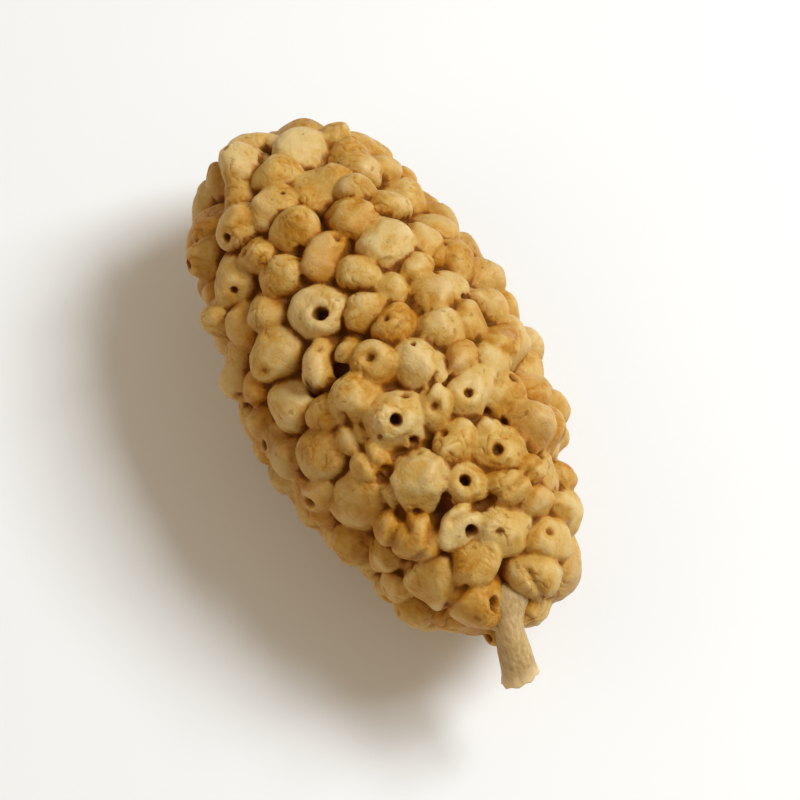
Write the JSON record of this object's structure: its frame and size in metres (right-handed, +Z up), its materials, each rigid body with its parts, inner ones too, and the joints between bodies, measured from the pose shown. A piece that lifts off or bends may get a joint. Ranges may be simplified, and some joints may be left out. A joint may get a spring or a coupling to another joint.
{
  "type": "dried mulberry",
  "caption": "One whole dried white mulberry lying on its side, its shrunken drupelets pressed together round one axis, with its short dry stalk.",
  "frame": {"origin": "on the surface that the fruit lies on, under the middle of its box", "axes": "+X along the fruit from its apex towards its stalk, +Y across it, +Z up from the surface it lies on"},
  "size_m": [0.0267, 0.0132, 0.0119],
  "materials": {
    "drupelet_skin": "satin, wrinkled dried fruit skin, tan with darker crevices and pits",
    "stalk": "matt, dry and fibrous"
  },
  "bodies": {
    "root": {"drupelets": "drupelet_skin", "stalk": "stalk"}
  },
  "joints": []
}
